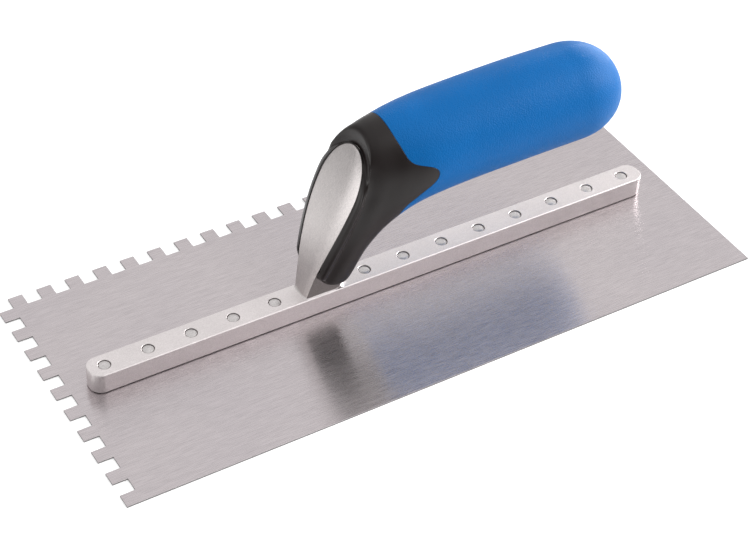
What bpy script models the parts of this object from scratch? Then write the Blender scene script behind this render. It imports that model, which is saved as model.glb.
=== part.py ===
"""Notched trowel: a toothed blade riveted under a cast bar, whose leaning neck and tang carry a soft grip.

Metres, +Z up. The blade's underside lies in z = 0, its plain short end is at +X, its notched long edge at
+Y, and the origin is under the middle of the blade.
"""

import math

import bmesh
import bpy
import numpy as np

MM = 0.001
GAP = 0.3 * MM  # clearance between any two pieces
OVER = 0.5 * MM  # how far a cutter runs past the faces that it cuts

# Blade
BLADE_LENGTH = 280 * MM
BLADE_WIDTH = 120 * MM
BLADE_THICK = 0.7 * MM
NOTCH = 6 * MM  # square notches, with teeth of the same width between them
SHORT_NOTCHES = 9
LONG_NOTCHES = 22

# Bar of the casting
BAR_LENGTH = 254 * MM
BAR_WIDTH = 11 * MM
BAR_TOP = 9.8 * MM
BAR_CORNER = 4.8 * MM
BAR_CHAMFER = 0.5 * MM
BAR_BOTTOM = BLADE_THICK + GAP
CORNER_STEPS = 5

# Rivets, from the middle of the row out on each side of the neck
RIVET_PITCH = 18 * MM
FRONT_RIVET_X = -48.2 * MM
FRONT_RIVETS = 5
REAR_RIVET_X = -7.8 * MM
REAR_RIVETS = 8
SHANK_R = 2.0 * MM
HEAD_R = 2.25 * MM
HEAD_DEPTH = 1.2 * MM
HEAD_SINK = 0.1 * MM
HEAD_CHAMFER = 0.3 * MM
SINK_R = 3.0 * MM
RIVET_SIDES = 14

# A handle section is drawn from its bottom point to its top point in the plane y = 0, and swells to a
# half-width between them. Each row is bottom x, bottom z, top x, top z, half-width, roundness and bow, in
# millimetres; roundness 0 is the neck's drop shape and 1 is an ellipse, and bow is how far the section
# bulges forward between its ends.
SKIN_SECTIONS = (
    (-34.4, 20.8, -13.3, 72.8, 15.2, 0.0, 1.5),
    (-29.0, 14.8, -12.7, 79.2, 15.6, 0.15, 1.3),
    (-21.6, 13.8, -9.5, 81.8, 15.3, 0.35, 1.4),
    (-16.1, 23.8, -3.4, 83.2, 15.8, 0.55, 0.6),
    (-8.8, 34.1, 5.1, 83.9, 17.6, 0.8, 0.0),
    (3.8, 41.7, 16.0, 84.3, 19.1, 1.0, 0.0),
    (24.5, 44.2, 33.0, 85.3, 19.1, 1.0, 0.0),
    (54.6, 44.8, 57.8, 86.2, 19.0, 1.0, 0.0),
    (84.3, 45.0, 80.2, 86.1, 18.9, 1.0, 0.0),
)
SKIN_END = (105.0, 65.7)
SKIN_BLUNT = 0.82  # below 1 the rear end is fuller than an ellipsoid
SKIN_DROP = (0.66, 0.62, 0.9, 2.0)  # as drop_width takes them
DROP_ROUNDING = 0.06  # share of a drop's height over which its bottom is rounded
BOW_POWER = 0.85  # below 1 a bow is strongest under the middle of its section

NECK_SECTIONS = (
    (-37.3, 4.5, -14.3, 73.1, 12.3, 0.0, 3.2),
    (-33.8, 4.0, -11.5, 75.0, 12.4, 0.0, 3.0),
    (-28.5, 4.0, -7.5, 77.0, 12.0, 0.1, 2.0),
    (-23.4, 5.0, -4.0, 78.0, 11.6, 0.25, 1.0),
    (-20.8, 18.0, -1.0, 78.4, 11.4, 0.5, 0.3),
    (-14.6, 30.0, 2.5, 78.4, 11.2, 0.8, 0.0),
    (-4.0, 41.0, 6.5, 76.5, 10.6, 1.0, 0.0),
    (5.5, 52.0, 10.0, 73.5, 8.0, 1.0, 0.0),
    (14.0, 58.0, 14.5, 72.0, 5.8, 1.0, 0.0),
    (40.0, 58.5, 40.0, 71.5, 5.4, 1.0, 0.0),
    (76.0, 59.5, 76.0, 70.5, 4.6, 1.0, 0.0),
)
NECK_DROP = (0.75, 0.34, 1.56, 2.0)
FACE_CROWN = 1.3 * MM  # how far the middle of the neck's front face stands out where it is widest
FACE_ROOM = 5 * MM  # the collar is open for this far ahead of the neck's face

CORE_SECTIONS = (
    (12.8, 50.0, 12.8, 79.5, 13.0, 1.0, 0.0),
    (40.0, 50.5, 40.0, 80.5, 13.2, 1.0, 0.0),
    (86.0, 51.5, 86.0, 80.0, 12.6, 1.0, 0.0),
    (92.0, 55.0, 92.0, 76.5, 9.0, 1.0, 0.0),
)

# Front edge of the grip in side view, x and z in millimetres, with the tongue of the collar at its middle
SEAM = (
    (-4.6, 92.0),
    (-4.0, 83.5),
    (-1.9, 76.5),
    (1.2, 70.6),
    (9.4, 67.2),
    (11.4, 64.0),
    (9.6, 60.3),
    (3.4, 55.3),
    (-1.9, 49.6),
    (-3.5, 38.0),
)
SEAM_STEPS = 4
BLOCK_FRONT = -60 * MM  # the block that stands for everything ahead of the seam
BLOCK_SIDE = 40 * MM

RING_POINTS = 28
LOFT_STEPS = 3
END_STEPS = 7


def clear_scene():
    for obj in list(bpy.data.objects):
        bpy.data.objects.remove(obj, do_unlink=True)


def material(name, colour, roughness, metallic):
    made = bpy.data.materials.new(name)
    made.use_nodes = True
    shader = made.node_tree.nodes["Principled BSDF"]
    shader.inputs["Base Color"].default_value = (*colour, 1.0)
    shader.inputs["Roughness"].default_value = roughness
    shader.inputs["Metallic"].default_value = metallic
    return made


def node_from(name, bm, finish=None):
    """A named object from a bmesh, with its faces turned outwards."""
    bmesh.ops.recalc_face_normals(bm, faces=bm.faces)
    mesh = bpy.data.meshes.new(name)
    bm.to_mesh(mesh)
    bm.free()
    obj = bpy.data.objects.new(name, mesh)
    bpy.context.scene.collection.objects.link(obj)
    if finish:
        mesh.materials.append(finish)
    return obj


def helper_from(name, bm):
    """A cutter: an object that is used by a Boolean and isn't a piece."""
    obj = node_from(name, bm)
    obj.hide_render = True
    obj.display_type = "WIRE"
    return obj


def boolean(obj, other, operation):
    modifier = obj.modifiers.new(other.name, "BOOLEAN")
    modifier.operation = operation
    modifier.solver = "EXACT"
    modifier.object = other


def smooth_shade(obj, degrees=35):
    obj.data.shade_smooth()
    obj.data.set_sharp_from_angle(angle=math.radians(degrees))


def prism(outline, low, high):
    """A bmesh of a closed (x, y) outline, extruded from z = low to z = high."""
    bm = bmesh.new()
    face = bm.faces.new([bm.verts.new((x, y, low)) for x, y in outline])
    made = bmesh.ops.extrude_face_region(bm, geom=[face])["geom"]
    top = [v for v in made if isinstance(v, bmesh.types.BMVert)]
    bmesh.ops.translate(bm, verts=top, vec=(0, 0, high - low))
    return bm


def rings_to_solid(rings, front_crest=None, rear_tip=None):
    """A bmesh skinned over closed rings of points.

    The first ring is closed flat, or over a line of points that joins its first point to its middle one.
    The last ring is closed flat or to a point.
    """
    bm = bmesh.new()
    loops = [[bm.verts.new(point) for point in ring] for ring in rings]
    count = len(loops[0])
    for before, after in zip(loops, loops[1:]):
        for i in range(count):
            j = (i + 1) % count
            bm.faces.new((before[i], before[j], after[j], after[i]))
    if front_crest is None:
        bm.faces.new(loops[0])
    else:
        half = count // 2
        crest = [loops[0][0]] + [bm.verts.new(point) for point in front_crest] + [loops[0][half]]
        for side in (loops[0][: half + 1], [loops[0][0]] + loops[0][: half - 1 : -1]):
            for k in range(half):
                corners = (side[k], side[k + 1], crest[k + 1], crest[k])
                bm.faces.new(list(dict.fromkeys(corners)))
    if rear_tip is None:
        bm.faces.new(loops[-1])
        return bm
    apex = bm.verts.new(rear_tip)
    for i in range(count):
        bm.faces.new((loops[-1][i], loops[-1][(i + 1) % count], apex))
    return bm


def grown(bm, distance):
    """The same closed bmesh with every face moved outwards by at least distance."""
    bmesh.ops.recalc_face_normals(bm, faces=bm.faces)
    bm.normal_update()
    moves = [(v, v.normal * distance * v.calc_shell_factor()) for v in bm.verts]
    for vert, move in moves:
        vert.co += move
    return bm


def turned(profile, sides, centre):
    """A bmesh turned from (radius, z) points around a vertical line at centre."""
    rings = []
    for radius, z in profile:
        ring = []
        for k in range(sides):
            angle = 2 * math.pi * k / sides
            ring.append((centre + radius * math.cos(angle), radius * math.sin(angle), z))
        rings.append(ring)
    return rings_to_solid(rings)


def smooth_rows(rows, steps):
    """Rows of numbers with steps - 1 rows put between each pair, on Catmull-Rom curves."""
    rows = np.asarray(rows, float)
    padded = np.vstack([2 * rows[0] - rows[1], rows, 2 * rows[-1] - rows[-2]])
    out = []
    for k in range(1, len(padded) - 2):
        p0, p1, p2, p3 = padded[k - 1 : k + 3]
        for step in range(steps):
            t = step / steps
            out.append(
                0.5
                * (
                    2 * p1
                    + (p2 - p0) * t
                    + (2 * p0 - 5 * p1 + 4 * p2 - p3) * t**2
                    + (3 * p1 - p0 - 3 * p2 + p3) * t**3
                )
            )
    out.append(rows[-1])
    return np.array(out)


def drop_width(share, widest, foot, lower_power, upper_power):
    """Half-width of a drop shape, as a share of its greatest, at a share of its height.

    It is widest at the share of its height called widest, and foot is its width at the bottom. The powers
    bend its lower and upper flanks, and its bottom corners are rounded.
    """
    if share >= widest:
        rest = (share - widest) / (1 - widest)
        return max(0.0, 1 - rest**upper_power) ** (1 / upper_power)
    width = foot + (1 - foot) * math.sin(math.pi / 2 * share / widest) ** lower_power
    if share < DROP_ROUNDING:
        width *= math.sqrt(1 - (1 - share / DROP_ROUNDING) ** 2)
    return width


def section_ring(row, drop=SKIN_DROP):
    """The closed ring of one section row."""
    bottom = np.array([row[0], row[1]]) * MM
    top = np.array([row[2], row[3]]) * MM
    rise = top - bottom
    forward = np.array([-rise[1], rise[0]]) / np.linalg.norm(rise)
    half_width, roundness, bow = row[4] * MM, min(1.0, max(0.0, row[5])), row[6] * MM
    half = RING_POINTS // 2
    side = []
    for k in range(half + 1):
        share = 0.5 - 0.5 * math.cos(math.pi * k / half)
        pointed = drop_width(share, *drop)
        ellipse = 2 * math.sqrt(share * (1 - share))
        x, z = bottom + rise * share + forward * bow * math.sin(math.pi * share**BOW_POWER)
        side.append((x, half_width * (pointed * (1 - roundness) + ellipse * roundness), z))
    return side + [(x, -y, z) for x, y, z in reversed(side[1:-1])]


def blade_outline():
    """Outer edge of the blade, going round from its near plain corner."""
    half_length, half_width = BLADE_LENGTH / 2, BLADE_WIDTH / 2
    points = [(half_length, -half_width), (half_length, half_width)]
    inner_x, inner_y = -half_length + NOTCH, half_width - NOTCH
    for k in reversed(range(LONG_NOTCHES)):
        low = inner_x + NOTCH + 2 * NOTCH * k
        high = low + NOTCH
        points += [(high, half_width), (high, inner_y), (low, inner_y), (low, half_width)]
    points += [(inner_x, half_width), (inner_x, inner_y)]
    for k in reversed(range(SHORT_NOTCHES + 1)):
        high = -half_width + NOTCH + 2 * NOTCH * k
        low = high - NOTCH
        points += [(-half_length, high), (-half_length, low)]
        if k:
            points += [(inner_x, low), (inner_x, low - NOTCH)]
    return points


def rivet_places():
    """X of each rivet, from the front of the bar to its rear."""
    front = [FRONT_RIVET_X - RIVET_PITCH * k for k in reversed(range(FRONT_RIVETS))]
    return front + [REAR_RIVET_X + RIVET_PITCH * k for k in range(REAR_RIVETS)]


def make_blade(finish):
    blade = node_from("blade", prism(blade_outline(), 0.0, BLADE_THICK), finish)
    slope = (SINK_R - SHANK_R) / BLADE_THICK
    profile = (
        (SINK_R + GAP + slope * OVER, -OVER),
        (SHANK_R + GAP, BLADE_THICK),
        (SHANK_R + GAP, BLADE_THICK + OVER),
    )
    for number, x in enumerate(rivet_places(), start=1):
        hole = helper_from(f"blade_hole_{number:02d}", turned(profile, RIVET_SIDES, x))
        boolean(blade, hole, "DIFFERENCE")


def make_rivets(finish):
    top = BAR_TOP - HEAD_SINK
    profile = (
        (SINK_R, 0.0),
        (SHANK_R, BLADE_THICK),
        (SHANK_R, BAR_TOP - HEAD_DEPTH + GAP),
        (HEAD_R, BAR_TOP - HEAD_DEPTH + GAP),
        (HEAD_R, top - HEAD_CHAMFER),
        (HEAD_R - HEAD_CHAMFER, top),
    )
    for number, x in enumerate(rivet_places(), start=1):
        smooth_shade(node_from(f"rivet_{number:02d}", turned(profile, RIVET_SIDES, x), finish))


def bar_outline(inset):
    """Plan of the bar, with rounded corners, drawn in by inset."""
    corner_x, corner_y = BAR_LENGTH / 2 - BAR_CORNER, BAR_WIDTH / 2 - BAR_CORNER
    points = []
    for quarter, (sx, sy) in enumerate(((1, 1), (-1, 1), (-1, -1), (1, -1))):
        for k in range(CORNER_STEPS + 1):
            angle = math.pi / 2 * (quarter + k / CORNER_STEPS)
            reach = BAR_CORNER - inset
            points.append((sx * corner_x + reach * math.cos(angle), sy * corner_y + reach * math.sin(angle)))
    return points


def make_bar_solid():
    levels = ((0.0, BAR_BOTTOM), (0.0, BAR_TOP - BAR_CHAMFER), (BAR_CHAMFER, BAR_TOP))
    return rings_to_solid([[(x, y, z) for x, y in bar_outline(inset)] for inset, z in levels])


def neck_rings():
    """Sections of the neck and tang, from the front face to the end inside the grip."""
    return [section_ring(row, NECK_DROP) for row in smooth_rows(NECK_SECTIONS, LOFT_STEPS)]


def forward_of(ring):
    """The direction square to a section's chord, towards the front."""
    rise = np.array(ring[RING_POINTS // 2]) - np.array(ring[0])
    return np.array((-rise[2], 0.0, rise[0])) / np.linalg.norm(rise)


def neck_solid():
    """The neck with its front face slightly crowned."""
    rings = neck_rings()
    widest = max(y for _, y, _ in rings[0])
    crest = []
    for x, y, z in rings[0][1 : RING_POINTS // 2]:
        crest.append(np.array((x, 0.0, z)) + forward_of(rings[0]) * FACE_CROWN * y / widest)
    return rings_to_solid(rings, front_crest=crest)


def neck_room():
    """The space that the handle's layers leave for the neck, open ahead of its face."""
    rings = neck_rings()
    ahead = [tuple(point) for point in np.array(rings[0]) + forward_of(rings[0]) * FACE_ROOM]
    return grown(rings_to_solid([ahead] + rings), GAP)


def make_casting(finish):
    casting = node_from("backbone_casting", make_bar_solid(), finish)
    neck = helper_from("neck_form", neck_solid())
    boolean(casting, neck, "UNION")
    profile = (
        (SHANK_R + GAP, BAR_BOTTOM - OVER),
        (SHANK_R + GAP, BAR_TOP - HEAD_DEPTH),
        (HEAD_R + GAP, BAR_TOP - HEAD_DEPTH),
        (HEAD_R + GAP, BAR_TOP + OVER),
    )
    for number, x in enumerate(rivet_places(), start=1):
        hole = helper_from(f"bar_hole_{number:02d}", turned(profile, RIVET_SIDES, x))
        boolean(casting, hole, "DIFFERENCE")
    smooth_shade(casting)


def skin_solid():
    """The outside of collar and grip together, as one closed form."""
    rows = list(smooth_rows(SKIN_SECTIONS, LOFT_STEPS))
    last = rows[-1]
    centre = (last[:2] + last[2:4]) / 2
    reach = (last[2:4] - last[:2]) / 2
    for step in range(1, END_STEPS):
        turn = math.pi / 2 * step / END_STEPS
        middle = centre + (np.array(SKIN_END) - centre) * math.sin(turn)
        share = math.cos(turn) ** SKIN_BLUNT
        width = last[4] * share
        rows.append(np.array([*(middle - reach * share), *(middle + reach * share), width, 1.0, 0.0]))
    rings = [section_ring(row) for row in rows]
    return rings_to_solid(rings, rear_tip=(SKIN_END[0] * MM, 0.0, SKIN_END[1] * MM))


def core_solid():
    rows = smooth_rows(CORE_SECTIONS, LOFT_STEPS)
    return rings_to_solid([section_ring(row) for row in rows])


def ahead_of_seam(name, shift):
    """A block over everything ahead of the seam, moved back by shift."""
    edge = [(x * MM + shift, z * MM) for x, z in smooth_rows(SEAM, SEAM_STEPS)]
    outline = [(BLOCK_FRONT, edge[0][1])] + edge + [(edge[-1][0], 0.0), (BLOCK_FRONT, 0.0)]
    bm = bmesh.new()
    face = bm.faces.new([bm.verts.new((x, -BLOCK_SIDE, z)) for x, z in outline])
    made = bmesh.ops.extrude_face_region(bm, geom=[face])["geom"]
    moved = [v for v in made if isinstance(v, bmesh.types.BMVert)]
    bmesh.ops.translate(bm, verts=moved, vec=(0, 2 * BLOCK_SIDE, 0))
    return helper_from(name, bm)


def make_handle(soft_black, blue, stiff):
    for_neck = helper_from("neck_room", neck_room())
    for_core = helper_from("core_room", grown(core_solid(), GAP))

    collar = node_from("soft_collar", skin_solid(), soft_black)
    boolean(collar, ahead_of_seam("collar_side", 0.0), "INTERSECT")
    boolean(collar, for_neck, "DIFFERENCE")

    grip = node_from("grip", skin_solid(), blue)
    boolean(grip, ahead_of_seam("grip_side", GAP), "DIFFERENCE")
    boolean(grip, for_neck, "DIFFERENCE")
    boolean(grip, for_core, "DIFFERENCE")

    core = node_from("grip_core", core_solid(), stiff)
    boolean(core, for_neck, "DIFFERENCE")

    for piece in (collar, grip, core):
        smooth_shade(piece)


def main():
    clear_scene()
    steel = material("brushed_stainless", (0.48, 0.43, 0.44), 0.34, 1.0)
    cast_metal = material("satin_casting", (0.74, 0.70, 0.69), 0.45, 1.0)
    rivet_metal = material("rivet_metal", (0.62, 0.60, 0.59), 0.4, 1.0)
    soft_black = material("soft_black_rubber", (0.026, 0.023, 0.025), 0.6, 0.0)
    blue = material("blue_grip", (0.002, 0.147, 0.474), 0.5, 0.0)
    stiff = material("stiff_core", (0.04, 0.04, 0.045), 0.5, 0.0)
    make_blade(steel)
    make_casting(cast_metal)
    make_rivets(rivet_metal)
    make_handle(soft_black, blue, stiff)


main()
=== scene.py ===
"""Looks of the notched trowel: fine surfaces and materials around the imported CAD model.

Metres, in the CAD's frame: the blade's underside is z = 0, the plain short end is +X and the notched long
edge is +Y. The handle's section rows, its seam and the main sizes repeat the CAD source. The chamfers, the
sink of the rivets' heads, the face's ridge, the fillet, the collar's rim and its groove are the scene's own.
"""

import math

import bmesh
import bpy
import numpy as np
from mathutils import Matrix, Vector


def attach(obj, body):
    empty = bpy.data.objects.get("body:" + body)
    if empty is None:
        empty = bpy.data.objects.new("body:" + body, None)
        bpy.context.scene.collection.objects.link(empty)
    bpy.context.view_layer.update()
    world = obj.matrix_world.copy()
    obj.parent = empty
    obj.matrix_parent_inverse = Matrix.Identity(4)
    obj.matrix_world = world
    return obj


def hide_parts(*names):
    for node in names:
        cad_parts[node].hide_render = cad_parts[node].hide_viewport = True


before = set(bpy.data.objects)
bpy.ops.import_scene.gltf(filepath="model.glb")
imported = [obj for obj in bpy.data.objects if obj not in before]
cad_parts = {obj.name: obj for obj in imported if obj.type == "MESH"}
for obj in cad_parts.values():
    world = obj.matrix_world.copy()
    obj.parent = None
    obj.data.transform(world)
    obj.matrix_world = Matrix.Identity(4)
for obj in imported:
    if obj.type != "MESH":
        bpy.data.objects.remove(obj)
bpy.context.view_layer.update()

MM = 0.001

# Blade
BLADE_LENGTH = 280 * MM
BLADE_WIDTH = 120 * MM
BLADE_THICK = 0.7 * MM
BLADE_EDGE = 0.06 * MM  # width of the broken edges
NOTCH = 6 * MM
SHORT_NOTCHES = 9
LONG_NOTCHES = 22

# Bar of the casting
BAR_LENGTH = 254 * MM
BAR_WIDTH = 11 * MM
BAR_TOP = 9.8 * MM
BAR_CORNER = 4.8 * MM
BAR_CHAMFER = 0.28 * MM
BAR_BOTTOM = 1.0 * MM
BAR_LIP = 0.25 * MM  # chamfer under the bar
CORNER_STEPS = 14

# Rivets
RIVET_PITCH = 18 * MM
FRONT_RIVET_X = -48.2 * MM
FRONT_RIVETS = 5
REAR_RIVET_X = -7.8 * MM
REAR_RIVETS = 8
SHANK_R = 2.0 * MM
HEAD_R = 2.25 * MM
HEAD_DEPTH = 1.2 * MM
HEAD_SINK = 0.12 * MM
HEAD_DOME = 0.14 * MM
SINK_R = 3.0 * MM
RIVET_GAP = 0.28 * MM
RIVET_SIDES = 48
OVER = 0.5 * MM  # how far a cutter runs past the faces that it cuts

# A handle section is drawn from its bottom point to its top point in the plane y = 0, and swells to a
# half-width between them. Each row is bottom x, bottom z, top x, top z, half-width, roundness and bow, in
# millimetres; roundness 0 is the neck's drop shape and 1 is an ellipse, and bow is how far the section
# bulges forward between its ends.
SKIN_SECTIONS = np.array((
    (-34.4, 20.8, -13.3, 72.8, 15.2, 0.0, 1.5),
    (-29.0, 14.8, -12.7, 79.2, 15.6, 0.15, 1.3),
    (-21.6, 13.8, -9.5, 81.8, 15.3, 0.35, 1.4),
    (-16.1, 23.8, -3.4, 83.2, 15.8, 0.55, 0.6),
    (-8.8, 34.1, 5.1, 83.9, 17.6, 0.8, 0.0),
    (3.8, 41.7, 16.0, 84.3, 19.1, 1.0, 0.0),
    (24.5, 44.2, 33.0, 85.3, 19.1, 1.0, 0.0),
    (54.6, 44.8, 57.8, 86.2, 19.0, 1.0, 0.0),
    (84.3, 45.0, 80.2, 86.1, 18.9, 1.0, 0.0),
))
SKIN_LAST = len(SKIN_SECTIONS) - 1
SKIN_END = np.array((105.0, 65.7))
SKIN_BLUNT = 0.82
SKIN_DROP = (0.66, 0.62, 0.9, 2.0)
DROP_ROUNDING = 0.06
BOW_POWER = 0.85

NECK_SECTIONS = np.array((
    (-37.3, 4.5, -14.3, 73.1, 12.3, 0.0, 3.2),
    (-33.8, 4.0, -11.5, 75.0, 12.4, 0.0, 3.0),
    (-28.5, 4.0, -7.5, 77.0, 12.0, 0.1, 2.0),
    (-23.4, 5.0, -4.0, 78.0, 11.6, 0.25, 1.0),
    (-20.8, 18.0, -1.0, 78.4, 11.4, 0.5, 0.3),
    (-14.6, 30.0, 2.5, 78.4, 11.2, 0.8, 0.0),
    (-4.0, 41.0, 6.5, 76.5, 10.6, 1.0, 0.0),
    (5.5, 52.0, 10.0, 73.5, 8.0, 1.0, 0.0),
    (14.0, 58.0, 14.5, 72.0, 5.8, 1.0, 0.0),
    (40.0, 58.5, 40.0, 71.5, 5.4, 1.0, 0.0),
    (76.0, 59.5, 76.0, 70.5, 4.6, 1.0, 0.0),
))
NECK_DROP = (0.75, 0.34, 1.56, 2.0)
FACE_CROWN = 1.3 * MM
FACE_EDGE = 0.16 * MM  # radius of the face's edge
FACE_COLUMNS = 16
NECK_TUCK = 1.5 * MM  # how far the neck is drawn in under the collar at its top
NECK_TUCK_LENGTH = 0.7 * MM
NECK_TUCK_FROM, NECK_TUCK_SPAN = 0.35, 0.45  # shares of the face's height over which it sets in
FACE_RIDGE = -0.35  # where the face is highest, as a share of the half width; minus is towards -Y
RIDGE_SOFTNESS = 0.4
FOOT_FILLET = 0.8 * MM
FOOT_REAR_FILLET = 4.0 * MM
FOOT_RISE = 2.0 * MM  # what the fillet gains behind the foot
FOOT_SPAN = 2.4 * MM  # height over which the foot's plan is followed

# Front edge of the grip in side view, x and z in millimetres
SEAM = np.array((
    (-4.6, 92.0),
    (-4.0, 83.5),
    (-1.9, 76.5),
    (1.2, 70.6),
    (9.4, 67.2),
    (11.4, 64.0),
    (9.6, 60.3),
    (3.4, 55.3),
    (-1.9, 49.6),
    (-3.5, 38.0),
))
SEAM_ROUND = 0.22 * MM
SEAM_HALF_GAP = 0.03 * MM
GRIP_INSET = 0.01 * MM  # keeps the visual skin within the CAD's height
SEAM_WALL = 3.2 * MM
SEAM_AHEAD, SEAM_BEHIND = 1.5, 6.8  # places along the skin between which the seam lies
SEAM_CLEAR = 1.6  # how many widths of its rounding the skin's columns keep from the seam

# Rim of the collar round the neck's face
RIM_LAND = 0.55 * MM  # from the rim's crest to the face's edge
RIM_WIDEST = 3.3 * MM
RIM_SETBACK = ((0.0, 0.3, 0.6, 1.0), (0.35, 0.25, 0.1, 0.0))  # shares of the height, and millimetres
RIM_BACK = 2.0 * MM  # where the flank behind the rim starts
RIM_LIFT = 1.1 * MM  # rise of the face at which the rim stands fully forward
RIM_OVERLAP = 0.1 * MM  # how far the rim stands ahead of the face's edge
RIM_ROUNDS = 6  # of smoothing

# Soft groove behind the rim: where it is deepest, how deep it can be, and its fall to the front and rear
GROOVE_AT = 3.1 * MM
GROOVE_DEPTH = 2.1 * MM
GROOVE_FRONT = 1.15 * MM
GROOVE_REAR = 3.6 * MM
GROOVE_STRENGTH = ((0.0, 0.1, 0.4, 0.66, 0.82, 1.0), (0.2, 0.35, 0.6, 0.95, 0.78, 0.12))  # by share of height

MIDDLE_LINE = (0.25, 0.74)  # shares of a section's height between which its ring's inward directions meet
SIDE_COLUMNS = 88  # columns of a handle surface on each side of the middle plane
DRIFT_START = 5 * MM  # where the collar's columns start to settle to a constant angle
DRIFT_END = 14 * MM

# Finishes that are told apart by which way a face looks
EDGE_LOOK = 0.3  # a blade face whose normal rises less than this is a cut edge
POLISHED_LOOK = 0.6  # a neck face that looks this much forward is polished
FILLET_LOOK = 0.3  # a fillet face that looks this much up or back keeps the bar's finish

# Floor: its own glow, and the distances from the middle over which the pool of light painted into its colour
# and glow falls off
FLOOR_GLOW = 0.3
POOL_EDGE, POOL_END = 0.25, 0.5
PAINTED_POOL_TONE, PAINTED_OUTER_TONE = 0.95, 0.26

# Room: its strengths in front and behind, the way to its brightest part, and where it dims and brightens
ROOM_FRONT, ROOM_BACK = 0.20, 1.08
ROOM_AXIS = (0.27, 0.27, 0.92)
ROOM_DIM, ROOM_BRIGHT = -0.2, 0.85

# Soft panels: name, place, aim, size and power
PANELS = (
    ("front_panel", (0.55, -1.05, 1.15), (0.0, 0.0, 0.0), (0.6, 0.5), 2.4),
    ("right_panel", (1.15, 0.64, 0.14), (0.10, 0.0, 0.05), (0.6, 0.24), 6.0),
    ("dome_panel", (1.2, -0.32, 0.42), (0.10, 0.0, 0.07), (0.5, 0.4), 15.0),
    ("left_panel", (-1.3, 0.1, 0.2), (-0.02, 0.0, 0.05), (0.6, 0.3), 3.6),
)

# Camera: it looks at a point by the middle of the blade
CAMERA_AIM = (0.0002, 0.0044, 0.0)
CAMERA_DISTANCE = 0.7738
CAMERA_HEADING = math.radians(56.92)  # of its look, anticlockwise from +X
CAMERA_DOWN = math.radians(41.40)
CAMERA_ROLL = math.radians(3.09)
CAMERA_LENS = 92.56


def link(name, bm, finish, smooth_degrees=None):
    """A named object from a bmesh, with its faces turned outwards."""
    bmesh.ops.recalc_face_normals(bm, faces=bm.faces)
    mesh = bpy.data.meshes.new(name)
    bm.to_mesh(mesh)
    bm.free()
    obj = bpy.data.objects.new(name, mesh)
    bpy.context.scene.collection.objects.link(obj)
    if finish:
        mesh.materials.append(finish)
    if smooth_degrees:
        smooth(obj, smooth_degrees)
    return obj


def smooth(obj, degrees):
    """Shade smooth, with edges sharper than an angle kept sharp."""
    obj.data.shade_smooth()
    obj.data.set_sharp_from_angle(angle=math.radians(degrees))


def cut(obj, cutter_bm, operation="DIFFERENCE"):
    """Apply a Boolean with a bmesh and drop the bmesh's own object."""
    other = link("form", cutter_bm, None)
    modifier = obj.modifiers.new("form", "BOOLEAN")
    modifier.operation = operation
    modifier.solver = "EXACT"
    modifier.object = other
    graph = bpy.context.evaluated_depsgraph_get()
    made = bpy.data.meshes.new_from_object(obj.evaluated_get(graph))
    obj.modifiers.clear()
    old = obj.data
    obj.data = made
    bpy.data.meshes.remove(old)
    spare = other.data
    bpy.data.objects.remove(other, do_unlink=True)
    bpy.data.meshes.remove(spare)


def tidy_mesh(obj):
    """Merge what a Boolean left closer together than it can be seen, and drop faces with no area."""
    bm = bmesh.new()
    bm.from_mesh(obj.data)
    bmesh.ops.remove_doubles(bm, verts=bm.verts, dist=0.002 * MM)
    bmesh.ops.dissolve_degenerate(bm, edges=bm.edges, dist=0.002 * MM)
    bm.to_mesh(obj.data)
    bm.free()


def rings_to_solid(rings, front=None, rear=None, into=None):
    """A bmesh skinned over closed rings of points, closed flat or to the given points at its ends."""
    bm = into or bmesh.new()
    loops = [[bm.verts.new(point) for point in ring] for ring in rings]
    count = len(loops[0])
    for before, after in zip(loops, loops[1:]):
        for i in range(count):
            j = (i + 1) % count
            bm.faces.new((before[i], before[j], after[j], after[i]))
    for loop, tip in ((loops[0], front), (loops[-1], rear)):
        if tip is None:
            bm.faces.new(loop)
            continue
        apex = bm.verts.new(tip)
        for i in range(count):
            bm.faces.new((loop[i], loop[(i + 1) % count], apex))
    return bm


def turned(profile, x, into=None):
    """A bmesh turned from (radius, z) points around a vertical line at x."""
    angles = 2 * math.pi * np.arange(RIVET_SIDES) / RIVET_SIDES
    circle = np.stack([np.cos(angles), np.sin(angles)], axis=1)
    rings = []
    for radius, z in profile:
        rings.append([(x + radius * c, radius * s, z) for c, s in circle])
    return rings_to_solid(rings, into=into)


def between(rows, places):
    """Rows of numbers read at fractional places along their Catmull-Rom curves."""
    padded = np.vstack([2 * rows[0] - rows[1], rows, 2 * rows[-1] - rows[-2]])
    index = np.clip(places.astype(int), 0, len(rows) - 2)
    t = (places - index)[..., None]
    p0, p1, p2, p3 = (padded[index + k] for k in range(4))
    return 0.5 * (
        2 * p1
        + (p2 - p0) * t
        + (2 * p0 - 5 * p1 + 4 * p2 - p3) * t**2
        + (3 * p1 - p0 - 3 * p2 + p3) * t**3
    )


def drop_width(share, widest, foot, lower_power, upper_power):
    """Half-width of a drop shape, as a share of its greatest, at shares of its height."""
    rest = np.clip((share - widest) / (1 - widest), 0, 1)
    upper = np.clip(1 - rest**upper_power, 0, 1) ** (1 / upper_power)
    lower = foot + (1 - foot) * np.sin(math.pi / 2 * np.clip(share / widest, 0, 1)) ** lower_power
    inside = np.clip(1 - share / DROP_ROUNDING, 0, 1)
    return np.where(share >= widest, upper, lower * np.sqrt(1 - inside**2))


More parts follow.
